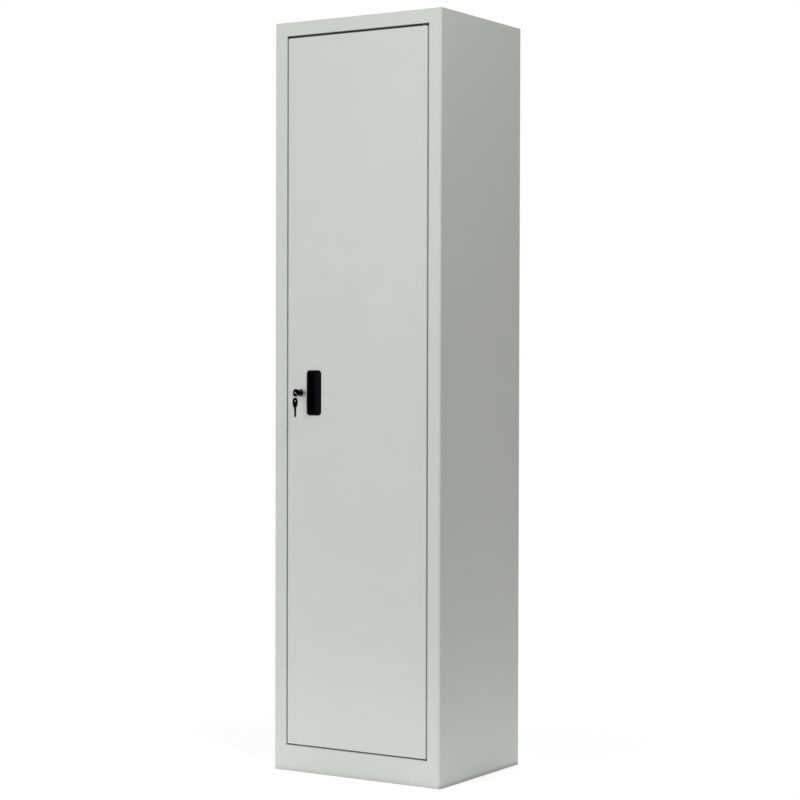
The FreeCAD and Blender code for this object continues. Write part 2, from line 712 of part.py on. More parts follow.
def door_buffers():
    """Rubber buttons stuck to the two stops."""
    body = new_body("door_buffers")
    lower = f"({DOOR_LOW} + door_lip / 2)"
    upper = f"({DOOR_HIGH} - door_lip / 2)"
    face = f"({DOOR_BACK} + buffer_play)"
    prism(body, "buttons", "Y", face, STOP_FACE,
          ((BUFFER_X, lower), "buffer_radius"), ((BUFFER_X, upper), "buffer_radius"))
    return body


# ---------------------------------------------------------------- cam lock
BACKWARDS = ((1, 0, 0), -90)      # turns a sub-part's own +Z to +Y, into the locker
LOCK_FACE = (LOCK_X, FRONT, LOCK_Z)
BOW_FRONT = f"({FRONT} - barrel_head - blade_neck)"            # plug side of the inserted bow


def lock_barrel():
    """Die-cast housing: a chamfered head outside the door and a threaded body inside it."""
    end = f"({CAM_FRONT} - {FRONT} - barrel_short)"
    bore = "(plug_radius + plug_play)"
    profile = [(bore, "-barrel_head"), ("barrel_head_radius - barrel_bevel", "-barrel_head"),
               ("barrel_head_radius", "-barrel_head + barrel_bevel"), ("barrel_head_radius", "0"),
               ("barrel_radius", "0"), ("barrel_radius", end), (bore, end)]
    return turned("lock_barrel", profile, LOCK_FACE, BACKWARDS)


def lock_nut():
    """Hexagon nut that clamps the barrel to the face of the door."""
    body = new_body("lock_nut")
    corners = [(f"{LOCK_X} + nut_radius * {math.cos(math.radians(60 * i)):.6f}",
                f"{LOCK_Z} + nut_radius * {math.sin(math.radians(60 * i)):.6f}") for i in range(6)]
    prism(body, "hexagon", "Y", f"{FRONT} + sheet", f"{FRONT} + sheet + nut_thick",
          corners, ((LOCK_X, LOCK_Z), "barrel_radius"))
    return body


def lock_plug():
    """Turning plug with its keyway in front and the square for the cam behind."""
    body = new_body("lock_plug")
    here = (LOCK_X, LOCK_Z)
    front = f"({FRONT} - barrel_head - plug_proud)"
    cylinder = prism(body, "cylinder", "Y", front, CAM_FRONT, (here, "plug_radius"))
    chamfer(body, "rim", cylinder, edges_in_plane(cylinder, front), "plug_proud")
    prism(body, "square", "Y", CAM_FRONT, f"{CAM_FRONT} + cam_thick",
          around(*here, "cam_square / 2", "cam_square / 2"))
    cut(body, "keyway", "Y", f"{front} - {OVERCUT}", f"{BOW_FRONT} + blade_length + blade_rest",
        around(*here, "blade_thick / 2 + blade_play", "blade_height / 2 + blade_play"))
    cut(body, "screw_hole", "Y", f"{CAM_FRONT} + cam_thick - screw_length", f"{CAM_FRONT} + cam_thick + {OVERCUT}",
        (here, "screw_radius"))
    return body


def lock_cam():
    """Flat steel tongue on the square of the plug, hanging down when the lock is open."""
    body = new_body("lock_cam")
    tip = f"{LOCK_Z} - cam_reach"
    top = f"{LOCK_Z} + cam_width / 2"
    outline = box(f"{LOCK_X} - cam_width / 2", tip, f"{LOCK_X} + cam_width / 2", top)
    tongue = prism(body, "tongue", "Y", CAM_FRONT, f"{CAM_FRONT} + cam_thick", outline)
    fillet(body, "ends", tongue, edges_along(tongue, "Y", outline), "cam_corner")
    cut(body, "square_hole", "Y", f"{CAM_FRONT} - {OVERCUT}", f"{CAM_FRONT} + cam_thick + {OVERCUT}",
        around(LOCK_X, LOCK_Z, "cam_square / 2", "cam_square / 2"))
    return body


def cam_screw():
    """Pan-head screw that holds the cam on the plug."""
    seat = f"({CAM_FRONT} + cam_thick)"
    profile = [("0", "-screw_length"), ("screw_radius", "-screw_length"), ("screw_radius", "0"),
               ("screw_head_radius", "0"), ("screw_head_radius", "screw_head"), ("0", "screw_head")]
    return turned("cam_screw", profile, (LOCK_X, seat, LOCK_Z), BACKWARDS)


# ---------------------------------------------------------------- keys and ring
# Both keys are drawn in the YZ plane from the shoulder between blade and bow: the inserted
# key points to +Y and the spare hangs from the ring with its blade down.
BOW_MIDDLE = f"({BOW_FRONT} - bow_length + bow_radius)"        # middle of its round
BOW_HOLE_Y = f"({BOW_MIDDLE} - bow_hole_offset)"
RING_Z = f"({LOCK_Z} - bow_hole - ring_bore + ring_play)"
RING_LOW = f"({RING_Z} - ring_bore - ring_wire / 2)"           # middle of the wire at its lowest
SPARE_HOLE_Z = f"({RING_LOW} - bow_hole + ring_wire / 2 + spare_play)"
SPARE_MIDDLE = f"({SPARE_HOLE_Z} - bow_hole_offset)"
SPARE_SHOULDER = f"({SPARE_MIDDLE} - bow_length + bow_radius)"


def key_blade(label, along, shoulder, way):
    """Flat blade with a row of bites, its tang inside the bow. `along` says which of Y and Z
    the key lies along, and `way` is the sign of the way it points."""
    body = new_body(label)
    low, high = "-blade_height / 2", "blade_height / 2"
    outline = [("-blade_tang", low), ("-blade_tang", high), ("blade_length - blade_point", high),
               ("blade_length", "0"), ("blade_length - blade_point", low)]
    flank = "(bite_pitch - bite_flat) / 2"
    for i, share in enumerate(BITE_CODE):
        start = f"(blade_length - blade_point - {i} * bite_pitch)"
        floor = f"{low} + bite_depth * {share}"
        outline += [(f"{start} - {flank}", floor), (f"{start} - {flank} - bite_flat", floor),
                    (f"{start} - bite_pitch", low)]
    if along == "Y":
        points = [(f"{shoulder} + {way} * ({a})", f"{LOCK_Z} + {b}") for a, b in outline]
    else:
        points = [(f"{BOW_HOLE_Y} + {b}", f"{shoulder} + {way} * ({a})") for a, b in outline]
    prism(body, "blade", "X", f"{LOCK_X} - blade_thick / 2", f"{LOCK_X} + blade_thick / 2", points)
    return body


def key_bow(label, along, shoulder, way):
    """Moulded bow: a round with the ring's hole, and a neck with the slot for the tang."""
    body = new_body(label)

    def place(a, b):
        lengthways = f"{shoulder} + {way} * ({a})"
        return (lengthways, f"{LOCK_Z} + {b}") if along == "Y" else (f"{BOW_HOLE_Y} + {b}", lengthways)

    low, high = f"{LOCK_X} - bow_thick / 2", f"{LOCK_X} + bow_thick / 2"
    middle = "bow_radius - bow_length"
    prism(body, "round", "X", low, high, (place(middle, "0"), "bow_radius"))
    prism(body, "neck", "X", low, high,
          [place("0", "-bow_neck / 2"), place("0", "bow_neck / 2"),
           place(middle, "bow_neck / 2 + bow_flare"), place(middle, "-bow_neck / 2 - bow_flare")])
    hole = (place(f"{middle} - bow_hole_offset", "0"), "bow_hole")
    cut(body, "ring_hole", "X", f"{low} - {OVERCUT}", f"{high} + {OVERCUT}", hole)
    cut(body, "tang_slot", "X", f"{LOCK_X} - blade_thick / 2", f"{LOCK_X} + blade_thick / 2",
        [place(OVERCUT, "-blade_height / 2"), place(OVERCUT, "blade_height / 2"),
         place("-blade_tang", "blade_height / 2"), place("-blade_tang", "-blade_height / 2")])
    return body


def key_ring():
    """Ring of flattened wire through the bows of both keys."""
    outer = "ring_bore + ring_wire"
    return turned("key_ring", [("ring_bore", "-ring_wire / 2"), (outer, "-ring_wire / 2"),
                               (outer, "ring_wire / 2"), ("ring_bore", "ring_wire / 2")],
                  (LOCK_X, BOW_HOLE_Y, RING_Z), BACKWARDS)


# ---------------------------------------------------------------- assembly
side_panel("side_panel_left", -1)
side_panel("side_panel_right", 1)
top_panel()
base_tray()
back_panel()
for end, y in UPRIGHT_Y.items():
    upright(f"upright_{end}_left", -1, y)
    upright(f"upright_{end}_right", 1, y)
for index in range(SHELVES):
    shelf(f"shelf_{index + 1}", index)
shelf_clips()

PLATE_END = f"({DOOR_HINGE_EDGE} - sheet)"
HOLE_IN_FRAME, HOLE_IN_DOOR = "pin_radius + pin_play", "pin_radius + pin_play + bush_wall"
pivot_plate("head_pivot_plate", f"({HEAD} + sheet)", HOLE_IN_FRAME, OPENING)
pivot_plate("floor_pivot_plate", "(plinth - sheet - plate_thick)", HOLE_IN_FRAME, OPENING)
pivot_pin("upper_pivot_pin", 1, f"{HEAD} + sheet + plate_thick", "head_gap")
pivot_pin("lower_pivot_pin", -1, "plinth - sheet - plate_thick", "door_gap")
floor_stop()
door_buffers()

door_panel()
door_stiffener()
pivot_plate("door_upper_plate", f"({DOOR_HIGH} - sheet - plate_thick)", HOLE_IN_DOOR, PLATE_END)
pivot_plate("door_lower_plate", f"({DOOR_LOW} + sheet)", HOLE_IN_DOOR, PLATE_END)
pivot_bush("upper_bush", 1, DOOR_HIGH, "head_gap - thrust_play")
pivot_bush("lower_bush", -1, DOOR_LOW, "door_gap - thrust_play")
pull_cup()
lock_barrel()
lock_nut()
lock_plug()
lock_cam()
cam_screw()

key_blade("key_blade", "Y", BOW_FRONT, 1)
key_bow("key_bow", "Y", BOW_FRONT, 1)
key_ring()
key_blade("spare_key_blade", "Z", SPARE_SHOULDER, -1)
key_bow("spare_key_bow", "Z", SPARE_SHOULDER, -1)

doc.recompute()

# ---------------------------------------------------------------- checks and files
for thing in doc.Objects:
    if {"Invalid", "Error"} & set(thing.State):
        raise RuntimeError(f"{thing.Label} failed: {thing.State}")
for part in PARTS:
    if part.Shape.isNull() or not part.Shape.isValid():
        raise RuntimeError(f"{part.Label} has no valid shape")

os.makedirs("parts", exist_ok=True)
for part in PARTS:
    part.Shape.exportStep(f"parts/{part.Label}.step")
    reach = part.Shape.BoundBox
    print(f"{part.Label:20s} solids {len(part.Shape.Solids):3d}  volume {part.Shape.Volume:12.1f}  "
          f"x {reach.XMin:8.2f} {reach.XMax:8.2f}  y {reach.YMin:8.2f} {reach.YMax:8.2f}  "
          f"z {reach.ZMin:8.2f} {reach.ZMax:8.2f}")
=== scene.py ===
"""A tall single-door steel locker, dressed around its CAD frame. Metres, +Z up, door towards -Y."""
import json
import math

import bpy
import numpy as np
from mathutils import Matrix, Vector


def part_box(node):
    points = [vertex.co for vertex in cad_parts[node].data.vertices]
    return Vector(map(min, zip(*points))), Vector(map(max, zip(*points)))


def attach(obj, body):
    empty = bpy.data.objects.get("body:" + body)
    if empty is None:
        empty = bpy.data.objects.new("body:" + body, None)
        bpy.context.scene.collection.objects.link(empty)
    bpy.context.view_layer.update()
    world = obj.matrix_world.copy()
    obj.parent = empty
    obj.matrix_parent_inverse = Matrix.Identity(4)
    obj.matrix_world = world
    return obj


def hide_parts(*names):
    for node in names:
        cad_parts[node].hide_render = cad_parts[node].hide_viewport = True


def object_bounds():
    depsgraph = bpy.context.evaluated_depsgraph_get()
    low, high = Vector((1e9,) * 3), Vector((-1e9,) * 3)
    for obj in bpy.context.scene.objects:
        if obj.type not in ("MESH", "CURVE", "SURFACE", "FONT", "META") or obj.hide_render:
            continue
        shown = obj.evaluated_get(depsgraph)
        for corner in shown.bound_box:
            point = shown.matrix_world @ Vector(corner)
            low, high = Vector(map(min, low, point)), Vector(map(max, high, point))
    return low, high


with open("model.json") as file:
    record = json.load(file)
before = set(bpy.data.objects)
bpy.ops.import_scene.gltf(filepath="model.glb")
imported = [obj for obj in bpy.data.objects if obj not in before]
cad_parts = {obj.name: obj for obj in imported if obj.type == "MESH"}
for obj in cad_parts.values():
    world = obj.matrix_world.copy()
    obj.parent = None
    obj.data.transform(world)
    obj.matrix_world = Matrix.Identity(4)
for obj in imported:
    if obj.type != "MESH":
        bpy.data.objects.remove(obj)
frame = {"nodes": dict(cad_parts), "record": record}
cad_low, cad_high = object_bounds()
nodes = frame["nodes"]


# ---------------------------------------------------------------- carcass and door sheets
# Cold-rolled steel sheet, folded and spot welded, then coated with light grey polyester powder
# and baked. The film flows a little before it sets, which leaves a satin sheen and a faint
# orange peel over faces and folds alike.

def linear(code):
    """Linear colour of an sRGB hex code: c / 12.92 up to 0.04045, else ((c + 0.055) / 1.055) ** 2.4."""
    c = np.array([int(code[i:i + 2], 16) for i in (1, 3, 5)]) / 255
    values = np.where(c <= 0.04045, c / 12.92, ((c + 0.055) / 1.055) ** 2.4)
    return (*values.tolist(), 1.0)


def connect(tree, node, inputs):
    """Fills a node's sockets. Each gets a value, or a link from a socket of another node, or from
    the first one that the other node puts out."""
    for socket, source in inputs.items():
        if isinstance(source, bpy.types.Node):
            source = next(output for output in source.outputs if output.enabled)
        if isinstance(source, bpy.types.NodeSocket):
            tree.links.new(source, node.inputs[socket])
        else:
            node.inputs[socket].default_value = source


def add(tree, kind, inputs=(), **settings):
    """Adds a node: `settings` are its own properties, and `inputs` fills its sockets."""
    made = tree.nodes.new(kind)
    for name, value in settings.items():
        setattr(made, name, value)
    connect(tree, made, dict(inputs))
    return made


def material(name):
    """A material with one Principled shader. Returns it, its tree, the shader and the Object
    coordinates that its patterns are worked out from."""
    made = bpy.data.materials.new(name)
    made.use_nodes = True
    tree = made.node_tree
    place = add(tree, "ShaderNodeTexCoord").outputs["Object"]
    return made, tree, tree.nodes["Principled BSDF"], place


def dress(slot_name, finish):
    """Gives the finish to every CAD node whose slot in the record has that name."""
    for part in frame["record"]["subparts"]:
        if part["material_slot"] == slot_name:
            nodes[part["node"]].material_slots[0].material = finish


def weld_lines_and_painted_shade(tree, place):
    """How much of the dark colour shows, from 0 to 1. The film is thin on the ground butt welds at
    the rails' ends: a share that eases to 0 beside the line. Painted shadow at the foot is the square
    of an ease to 0 upwards, times a share that is lower in front. Painted shade in the gap over the
    door eases to 0 above and below it, and starts a little behind the front."""
    door_low, door_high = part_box("door_panel")
    front = door_low.y + 0.0005
    rail_end, weld_share, weld_reach = (door_high.x - door_low.x) / 2 + 0.0060, 0.12, 0.0009
    front_share, side_share, foot_reach = 0.18, 0.42, 0.0180
    gap_z, gap_shade_share, gap_shade_reach = door_high.z + 0.0030, 0.85, 0.0080
    gap_shade_y, gap_shade_half = door_low.y + 0.0160, 0.0140

    axes = add(tree, "ShaderNodeSeparateXYZ", {"Vector": place}).outputs
    aside = add(tree, "ShaderNodeMath", {0: axes["X"]}, operation="ABSOLUTE")
    in_front = add(tree, "ShaderNodeMath", {0: axes["Y"], 1: front}, operation="LESS_THAN")

    over = add(tree, "ShaderNodeMath", {0: axes["Z"], 1: door_high.z}, operation="GREATER_THAN")
    under = add(tree, "ShaderNodeMath", {0: axes["Z"], 1: door_low.z}, operation="LESS_THAN")
    rails = add(tree, "ShaderNodeMath", {0: over, 1: under}, operation="MAXIMUM")
    off_weld = add(tree, "ShaderNodeMath", {0: aside, 1: rail_end}, operation="SUBTRACT")
    off_weld = add(tree, "ShaderNodeMath", {0: off_weld}, operation="ABSOLUTE")
    weld = add(tree, "ShaderNodeMapRange", {"Value": off_weld, "From Max": weld_reach, "To Min": weld_share,
                                            "To Max": 0.0}, interpolation_type="SMOOTHSTEP")
    weld = add(tree, "ShaderNodeMath", {0: weld, 1: rails}, operation="MULTIPLY")
    weld = add(tree, "ShaderNodeMath", {0: weld, 1: in_front}, operation="MULTIPLY")

    # Painted shadow: the coat darkens towards the foot, more on the sides than in front.
    foot = add(tree, "ShaderNodeMapRange", {"Value": axes["Z"], "From Max": foot_reach, "To Min": 1.0,
                                            "To Max": 0.0}, interpolation_type="SMOOTHSTEP")
    foot = add(tree, "ShaderNodeMath", {0: foot, 1: foot}, operation="MULTIPLY")
    share = add(tree, "ShaderNodeMath", {0: in_front, 1: front_share - side_share, 2: side_share},
                operation="MULTIPLY_ADD")
    weld_and_foot = add(tree, "ShaderNodeMath", {0: foot, 1: share, 2: weld}, operation="MULTIPLY_ADD")

    # Painted shade: the coat darkens in the gap over the door, a little behind the front.
    between_stiles = add(tree, "ShaderNodeMath", {0: aside, 1: rail_end}, operation="LESS_THAN")
    behind_edge = add(tree, "ShaderNodeMath", {0: axes["Y"], 1: gap_shade_y, 2: gap_shade_half}, operation="COMPARE")
    off_gap = add(tree, "ShaderNodeMath", {0: axes["Z"], 1: gap_z}, operation="SUBTRACT")
    off_gap = add(tree, "ShaderNodeMath", {0: off_gap}, operation="ABSOLUTE")
    gap_shade = add(tree, "ShaderNodeMapRange", {"Value": off_gap, "From Max": gap_shade_reach, "To Min": gap_shade_share,
                                            "To Max": 0.0}, interpolation_type="SMOOTHSTEP")
    gap_shade = add(tree, "ShaderNodeMath", {0: gap_shade, 1: between_stiles}, operation="MULTIPLY")
    gap_shade = add(tree, "ShaderNodeMath", {0: gap_shade, 1: behind_edge}, operation="MULTIPLY")
    return add(tree, "ShaderNodeMath", {0: weld_and_foot, 1: gap_shade}, operation="MAXIMUM")


def powder_coat():
    """Polyester powder on steel: two near greys cloud into each other over a hand's breadth, and
    the orange peel is drawn at 4 mm, where the real one is about 1 mm, so that it shows."""
    finish, tree, shader, place = material("powder_coat_satin_grey")
    cloud = add(tree, "ShaderNodeTexNoise", {"Vector": place, "Scale": 1 / 0.22, "Detail": 3.0})
    clean = add(tree, "ShaderNodeMix", {"Factor": cloud, "A": linear("#CCCECC"), "B": linear("#D1D3D0")},
                data_type="RGBA")
    # The dark colour marks the ground weld lines, and is also painted shadow at the foot and painted shade
    # in the gap over the door.
    welded_and_shaded = add(tree, "ShaderNodeMix", {"Factor": weld_lines_and_painted_shade(tree, place), "A": clean, "B": linear("#3C3C3A")},
                 data_type="RGBA")
    peel = add(tree, "ShaderNodeTexNoise", {"Vector": place, "Scale": 1 / 0.004, "Detail": 2.0})
    sheen = add(tree, "ShaderNodeMapRange", {"Value": peel, "To Min": 0.40, "To Max": 0.50})
    bump = add(tree, "ShaderNodeBump", {"Height": peel, "Strength": 0.5, "Distance": 0.00006})
    connect(tree, shader, {"Base Color": welded_and_shaded, "Specular IOR Level": 0.4, "Roughness": sheen,
                           "Normal": bump})
    return finish


coat = powder_coat()
dress("powder_coat", coat)


# ---------------------------------------------------------------- spot welds on the rear flanges
# Electrode marks where the side panels' rear flanges and the top and floor folds are spot welded
# to the back. Each is a shallow dent in a raised rim, softened by the paint over it.

def surface(name, grid, body, finish, sharp=30):
    """Quads over rings of points, an array of (copies x) rings x points x 3. Each ring is closed,
    and a face points along the step to the next ring crossed with the step round the ring. Faces
    that meet at over `sharp` degrees stay crisp."""
    rings, points = grid.shape[-3:-1]
    copies = grid.size // (rings * points * 3)
    ring, point = np.meshgrid(np.arange(rings - 1), np.arange(points), indexing="ij")
    here = ring * points + point
    beside = ring * points + (point + 1) % points
    quads = np.stack([here, here + points, beside + points, beside], axis=-1).reshape(1, -1, 4)
    starts = np.arange(copies)[:, None, None] * rings * points
    mesh = bpy.data.meshes.new(name)
    mesh.from_pydata(grid.reshape(-1, 3).tolist(), [], (quads + starts).reshape(-1, 4).tolist())
    mesh.materials.append(finish)
    piece = bpy.data.objects.new(name, mesh)
    bpy.context.collection.objects.link(piece)
    weld = piece.modifiers.new("weld", "WELD")
    weld.merge_threshold = 1e-6
    mesh.shade_smooth()
    mesh.set_sharp_from_angle(angle=math.radians(sharp))
    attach(piece, body)
    return piece


def spot_welds():
    """A profile turned about Y. Height over the flange = 0.12 mm times (a bell round the mark's rim,
    plus 0.15 for the paint), and 0 at its outer edge."""
    reach, rim, bell, thick, paint = 0.0038, 0.0026, 0.0006, 0.00012, 0.15
    radius = np.linspace(reach, 0, 9)[:, None]
    height = thick * (np.exp(-((radius - rim) / bell) ** 2) + paint) * (radius < reach)
    a = np.linspace(0, 2 * math.pi, 12, endpoint=False)
    mark = np.stack(np.broadcast_arrays(radius * np.cos(a), height, radius * np.sin(a)), axis=-1)
    rear, flange_x = cad_high.y, cad_high.x - 0.016
    flange_z = np.linspace(0.090, cad_high.z - 0.060, 15)
    fold_z = 0.050, cad_high.z - 0.010
    fold_x = np.linspace(-0.160, 0.160, 4)
    spots = [(x, rear, z) for x in (-flange_x, flange_x) for z in flange_z]
    spots += [(x, rear, z) for z in fold_z for x in fold_x]
    surface("spot_welds", mark + np.array(spots)[:, None, None, :], "carcass", coat)


spot_welds()


# ---------------------------------------------------------------- recessed pull
# One injection moulding in black ABS, clipped into a cut-out of the door. The mould is spark
# eroded, so the plastic has a fine matt grain.

def black_abs():
    """Moulded ABS: near black, with the 0.3 mm grain of the mould drawn at 0.9 mm so that it shows."""
    finish, tree, shader, place = material("moulded_black_abs")
    grain = add(tree, "ShaderNodeTexNoise", {"Vector": place, "Scale": 1 / 0.0009, "Detail": 1.0})
    sheen = add(tree, "ShaderNodeMapRange", {"Value": grain, "To Min": 0.55, "To Max": 0.75})
    bump = add(tree, "ShaderNodeBump", {"Height": grain, "Strength": 0.4, "Distance": 0.00005})
    connect(tree, shader, {"Base Color": linear("#010101"), "IOR": 1.53, "Specular IOR Level": 0.05,
                           "Roughness": sheen, "Normal": bump})
    return finish


dress("black_abs", black_abs())


# ---------------------------------------------------------------- lock barrel and plug
# Zinc die castings, polished and plated with black nickel; the head's skirt has a light metal colour, a
# painted reflection of the bright surroundings. The barrel's body is threaded behind the nut that clamps it
# to the door.

lock_low, lock_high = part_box("lock_barrel")
lock_x, lock_z = (lock_low.x + lock_high.x) / 2, (lock_low.z + lock_high.z) / 2


def black_nickel():
    """Black nickel: a dark warm mirror, dulled a little in patches a few millimetres across. At the
    head's largest radius it turns to a light metal colour, a painted reflection of the bright surroundings."""
    finish, tree, shader, place = material("nickel_with_painted_rim")
    rim_from, fade = (lock_high.x - lock_low.x) / 2 - 0.0008, 0.0007
    centred = add(tree, "ShaderNodeVectorMath", {0: place, 1: (lock_x, 0.0, lock_z)}, operation="SUBTRACT")
    radial = add(tree, "ShaderNodeVectorMath", {0: centred, 1: (1.0, 0.0, 1.0)}, operation="MULTIPLY")
    radius = add(tree, "ShaderNodeVectorMath", {0: radial}, operation="LENGTH")
    # Painted reflection: a light metal colour on the skirt of the head.
    bright_rim = add(tree, "ShaderNodeMapRange", {"Value": radius, "From Min": rim_from,
                                              "From Max": rim_from + fade})
    tone = add(tree, "ShaderNodeMix", {"Factor": bright_rim, "A": linear("#302E2B"), "B": linear("#C4C1BB")},
               data_type="RGBA")
    haze = add(tree, "ShaderNodeTexNoise", {"Vector": place, "Scale": 1 / 0.004, "Detail": 4.0})
    sheen = add(tree, "ShaderNodeMapRange", {"Value": haze, "To Min": 0.12, "To Max": 0.26})
    connect(tree, shader, {"Base Color": tone, "Metallic": 1.0, "Roughness": sheen})
    return finish


nickel = black_nickel()
dress("black_nickel_zinc", nickel)


def barrel_thread():
    """Radius = barrel + depth times a triangle wave of (length / pitch - turn), 0 at both ends."""
    barrel, depth, pitch = 0.00801, 0.0004, 0.0015
    start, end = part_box("lock_nut")[1].y, lock_high.y
    length = np.linspace(start, end, 105)[:, None]
    a = np.linspace(0, 2 * math.pi, 40, endpoint=False)
    phase = (length - start) / pitch - a / (2 * math.pi)
    fade = np.clip(np.minimum(length - start, end - length) / pitch, 0, 1)
    radius = barrel + depth * fade * 2 * np.abs(phase % 1 - 0.5)
    thread = np.broadcast_arrays(lock_x + radius * np.cos(a), length, lock_z + radius * np.sin(a))
    surface("barrel_thread", np.stack(thread, axis=-1), "door", nickel, sharp=60)


barrel_thread()


# ---------------------------------------------------------------- cam, nut, pins and shelf clips
# Stamped and turned steel, bright zinc plated. The plating is silver with a cool cast and shows
# the fine lines of the tool or strip under it.

def zinc_plate():
    """Bright zinc: roughness varies along lines 0.6 mm apart, as rolled and turned steel has."""
    finish, tree, shader, place = material("bright_zinc_plate")
    along = add(tree, "ShaderNodeMapping", {"Vector": place, "Scale": (1.0, 1.0, 0.06)})
    lines = add(tree, "ShaderNodeTexNoise", {"Vector": along, "Scale": 1 / 0.0006, "Detail": 2.0})
    sheen = add(tree, "ShaderNodeMapRange", {"Value": lines, "To Min": 0.24, "To Max": 0.46})
    bump = add(tree, "ShaderNodeBump", {"Height": lines, "Strength": 0.3, "Distance": 0.00002})
    connect(tree, shader, {"Base Color": linear("#BCC0C3"), "Metallic": 1.0, "Roughness": sheen,
                           "Normal": bump})
    return finish


zinc = zinc_plate()
dress("zinc_plated_steel", zinc)


def cam_screw():
    """Pan head: height = full * (1 - (r / radius) ** 4 / 3), less a cross whose depth falls to 0
    over the outer part of the arms and across their width. The skirt goes straight down to the
    cam."""
    head_low, head_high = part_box("cam_screw")
    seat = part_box("lock_cam")[1].y
    radius, full = (head_high.x - head_low.x) / 2, head_high.y - seat
    arm, half_width, depth, steepness = 0.0028, 0.0006, 0.0014, 1.5
    r = np.linspace(radius, 0, 22)[:, None]
    a = np.linspace(0, 2 * math.pi, 64, endpoint=False)
    aside = r * np.minimum(np.abs(np.cos(a)), np.abs(np.sin(a)))
    cross = np.clip(steepness * (1 - r / arm), 0, 1)
    cross = cross * np.clip((2 * half_width - aside) / half_width, 0, 1)
    top = seat + full * (1 - (r / radius) ** 4 / 3) - depth * cross
    head = np.stack([r * np.cos(a), top, r * np.sin(a)], axis=-1)
    skirt = np.stack(np.broadcast_arrays(radius * np.cos(a), seat, radius * np.sin(a)), axis=-1)
    grid = np.concatenate([skirt[None], head]) + (lock_x, 0, lock_z)
    screw = surface("cam_screw_head", grid, "lock", zinc)
    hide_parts("cam_screw")


cam_screw()


# ---------------------------------------------------------------- keys
# Each key is a milled brass blade, nickel plated and painted dark for the shade on it, with a groove
# along each side, in a moulded black bow. The bow's edges are rounded in the mould.

def blade_metal_painted_shade():
    """Nickel over milled brass, painted dark and warm for the shade on it; its shine is broken by the
    cutter's marks, which are 0.5 mm apart."""
    finish, tree, shader, place = material("milled_blade_painted_shade")
    mill = add(tree, "ShaderNodeTexNoise", {"Vector": place, "Scale": 1 / 0.0005, "Detail": 2.0})
    sheen = add(tree, "ShaderNodeMapRange", {"Value": mill, "To Min": 0.22, "To Max": 0.42})
    # Painted shade: the blade's metal is given a dark colour.
    connect(tree, shader, {"Base Color": linear("#25231F"), "Metallic": 1.0, "Roughness": sheen})
    return finish


blade_plate = blade_metal_painted_shade()
dress("black_nickel_brass", blade_plate)


def drawn_in(ring):
    """As many points as the ring has, all at its middle, which close the end of a tube."""
    return np.broadcast_to(ring.mean(axis=0), (1, *ring.shape))


def key_blade(node, body, along, forward, cut):
    """Sections across the blade, which points up axis `along`, or down it where `forward` is -1, and
    is bitten on its low side in axis `cut`. Both flanks run between the bitten and the straight edge,
    each with a groove whose depth is a bell over the height. The bites are the humps of a sine,
    swelled and cut flat, each times its own share of the deepest. The blade tapers over its point."""
    low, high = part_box(node)
    length, middle, half = high[along] - low[along], (low[cut] + high[cut]) / 2, (high[cut] - low[cut]) / 2
    pitch, deepest, shares, swell, point = 0.0034, 0.0020, (0.4, 0.9, 0.6, 1.0, 0.5), 1.4, 0.0025
    half_thick, groove = 0.0009, 0.00045
    right_at, right_wide, left_at, left_wide = 0.0011, 0.0008, -0.0006, 0.0007

    s = np.linspace(0, length, 110)[:, None]
    bite = (length - point - s) / pitch
    share = np.interp(np.floor(bite), range(5), shares) * (bite >= 0) * (bite < 5)
    depth = deepest * share * np.clip(swell * np.sin(np.pi * (bite % 1)), 0, 1)
    height = (depth - half) + (2 * half - depth) * np.linspace(0, 1, 16)
    height = height * np.clip((length - s) / point, 0, 1)
    right = half_thick - groove * np.exp(-((height - right_at) / right_wide) ** 2)
    left = groove * np.exp(-((height - left_at) / left_wide) ** 2) - half_thick

    across = np.concatenate([right, left[:, ::-1]], axis=1)
    grid = np.empty((*across.shape, 3))
    grid[..., 0] = (low.x + high.x) / 2 + across
    grid[..., along] = (low[along] if forward > 0 else high[along]) + forward * s
    grid[..., cut] = middle + np.concatenate([height, height[:, ::-1]], axis=1)
    grid = np.concatenate([drawn_in(grid[0]), grid])
    blade = surface(f"{node}_milled", grid, body, blade_plate)
    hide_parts(node)


Y, Z = 1, 2    # the numbers of two axes
key_blade("key_blade", "key", along=Y, forward=1, cut=Z)
key_blade("spare_key_blade", "spare_key", along=Z, forward=-1, cut=Y)

for bow in ("key_bow", "spare_key_bow"):
    weld = nodes[bow].modifiers.new("weld", "WELD")
    weld.merge_threshold = 1e-6
    rounding = nodes[bow].modifiers.new("bevel", "BEVEL")
    rounding.width = 0.0006
    rounding.segments = 3
    rounding.limit_method = "ANGLE"
    rounding.angle_limit = math.radians(30)


# ---------------------------------------------------------------- split ring
# Spring steel wire, rolled flat, coiled twice and nickel plated. Both turns lie side by side and
# the wire steps across between its two ends.

def nickel_wire():
    """Nickel over drawn wire: grey, with the plating's shine uneven over 0.8 mm."""
    finish, tree, shader, place = material("nickel_plated_spring_wire")
    drawn = add(tree, "ShaderNodeTexNoise", {"Vector": place, "Scale": 1 / 0.0008, "Detail": 2.0})
    sheen = add(tree, "ShaderNodeMapRange", {"Value": drawn, "To Min": 0.18, "To Max": 0.32})
    connect(tree, shader, {"Base Color": linear("#6E6C68"), "Metallic": 1.0, "Roughness": sheen})
    return finish


ring_steel = nickel_wire()
dress("spring_steel", ring_steel)


